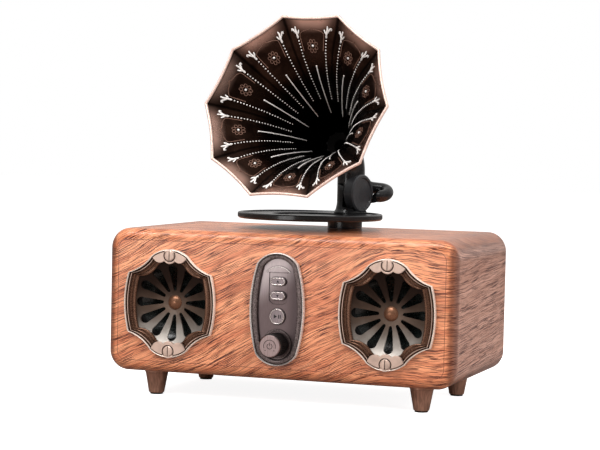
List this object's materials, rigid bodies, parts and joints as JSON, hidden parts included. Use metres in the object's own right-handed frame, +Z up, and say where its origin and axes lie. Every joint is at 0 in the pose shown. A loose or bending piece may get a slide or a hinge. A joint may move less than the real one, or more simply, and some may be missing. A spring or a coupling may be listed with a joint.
{
  "type": "horn loudspeaker",
  "caption": "Retro tabletop loudspeaker: wood cabinet on tapered feet, round slotted grilles, control panel and a decorative gramophone horn on a swivelling arm.",
  "frame": {"origin": "middle of the whole object's footprint box, on the surface that it stands on", "axes": "+X to the right seen from the front, +Y to the back, +Z up; grilles face -Y"},
  "size_m": [0.29, 0.1775, 0.3095],
  "materials": {
    "wood": "satin lacquered wood grain wrap",
    "bronze_trim": "antique bronze, semi gloss",
    "pewter_trim": "antique pewter, satin",
    "copper_trim": "antique copper, semi gloss",
    "horn_bronze": "dark bronze lacquer, glossy, silver embossing",
    "horn_rim_copper": "pale copper, glossy",
    "black_satin": "black satin",
    "foot_bronze": "bronze brown, satin",
    "rubber": "matt",
    "screw_steel": "zinc plated",
    "driver_cone": "black pulp, slightly glossy",
    "driver_metal": "black stove enamel",
    "board_green": "green circuit board",
    "cell_wrap": "blue shrink wrap",
    "socket_metal": "bright nickel",
    "rear_black": "black, fine texture"
  },
  "bodies": {
    "cabinet": {"cabinet_shell": "wood", "front_baffle": "wood", "rear_panel": "rear_black", "rear_panel_screws": "screw_steel", "main_board": "board_green", "usb_socket": "socket_metal", "aux_jack": "rear_black", "battery_pack": "cell_wrap", "foot_pads": "rubber", "foot_screws": "screw_steel", "bezel_screws": "bronze_trim", "driver_screws": "screw_steel", "control_panel_frame": "pewter_trim", "control_panel_face": "pewter_trim", "tact_switches": "rear_black", "control_board": "board_green", "board_screws": "screw_steel", "encoder_body": "screw_steel", "knob_ring": "pewter_trim", "arm_socket": "black_satin", "grille_bezel_left": "bronze_trim", "grille_plate_left": "bronze_trim", "grille_boss_left": "copper_trim", "driver_basket_left": "driver_metal", "driver_magnet_left": "driver_metal", "driver_cone_left": "driver_cone", "driver_surround_left": "rubber", "dust_cap_left": "driver_cone", "foot_front_left": "foot_bronze", "foot_rear_left": "foot_bronze", "grille_bezel_right": "bronze_trim", "grille_plate_right": "bronze_trim", "grille_boss_right": "copper_trim", "driver_basket_right": "driver_metal", "driver_magnet_right": "driver_metal", "driver_cone_right": "driver_cone", "driver_surround_right": "rubber", "dust_cap_right": "driver_cone", "foot_front_right": "foot_bronze", "foot_rear_right": "foot_bronze"},
    "arm": {"swivel_stub": "black_satin", "swivel_screw": "screw_steel", "platter": "black_satin", "platter_mat": "black_satin", "arm_bracket": "black_satin"},
    "horn_arm": {"knuckle_pin": "screw_steel", "knuckle_drum": "black_satin", "horn_elbow": "black_satin", "gooseneck_tube": "black_satin"},
    "horn": {"horn_bell": "horn_bronze", "horn_rim": "horn_rim_copper", "horn_neck": "horn_bronze", "neck_ring": "rubber"},
    "knob_plunger": {"encoder_plunger": "screw_steel"},
    "knob": {"encoder_shaft": "screw_steel", "volume_knob": "bronze_trim", "knob_cap": "pewter_trim"},
    "up_button": {"button_up": "pewter_trim"},
    "down_button": {"button_down": "pewter_trim"},
    "round_button": {"mode_button": "pewter_trim"}
  },
  "joints": [
    {"name": "arm_swivel", "type": "hinge", "parent": "cabinet", "child": "arm", "pos_m": [0.012, 0.0599, 0.136], "axis": [0, 0, 1], "range_deg": [-90, 90]},
    {"name": "horn_tilt", "type": "hinge", "parent": "arm", "child": "horn_arm", "pos_m": [0.016, 0.0619, 0.1653], "axis": [-0.9568, 0.2907, 0], "range_deg": [-8, 20]},
    {"name": "horn_turn", "type": "hinge", "parent": "horn_arm", "child": "horn", "pos_m": [0.0134, 0.03832, 0.2049], "axis": [-0.1033, -0.9357, 0.3373], "continuous": true},
    {"name": "knob_press", "type": "slide", "parent": "cabinet", "child": "knob_plunger", "axis": [0, 1, 0], "range_m": [0, 0.0008], "stiffness_N_per_m": 500},
    {"name": "knob_turn", "type": "hinge", "parent": "knob_plunger", "child": "knob", "pos_m": [0.0008, -0.0696, 0.049], "axis": [0, -1, 0], "continuous": true},
    {"name": "up_press", "type": "slide", "parent": "cabinet", "child": "up_button", "axis": [0, 1, 0], "range_m": [0, 0.0008], "stiffness_N_per_m": 400},
    {"name": "down_press", "type": "slide", "parent": "cabinet", "child": "down_button", "axis": [0, 1, 0], "range_m": [0, 0.0008], "stiffness_N_per_m": 400},
    {"name": "mode_press", "type": "slide", "parent": "cabinet", "child": "round_button", "axis": [0, 1, 0], "range_m": [0, 0.0008], "stiffness_N_per_m": 400}
  ]
}
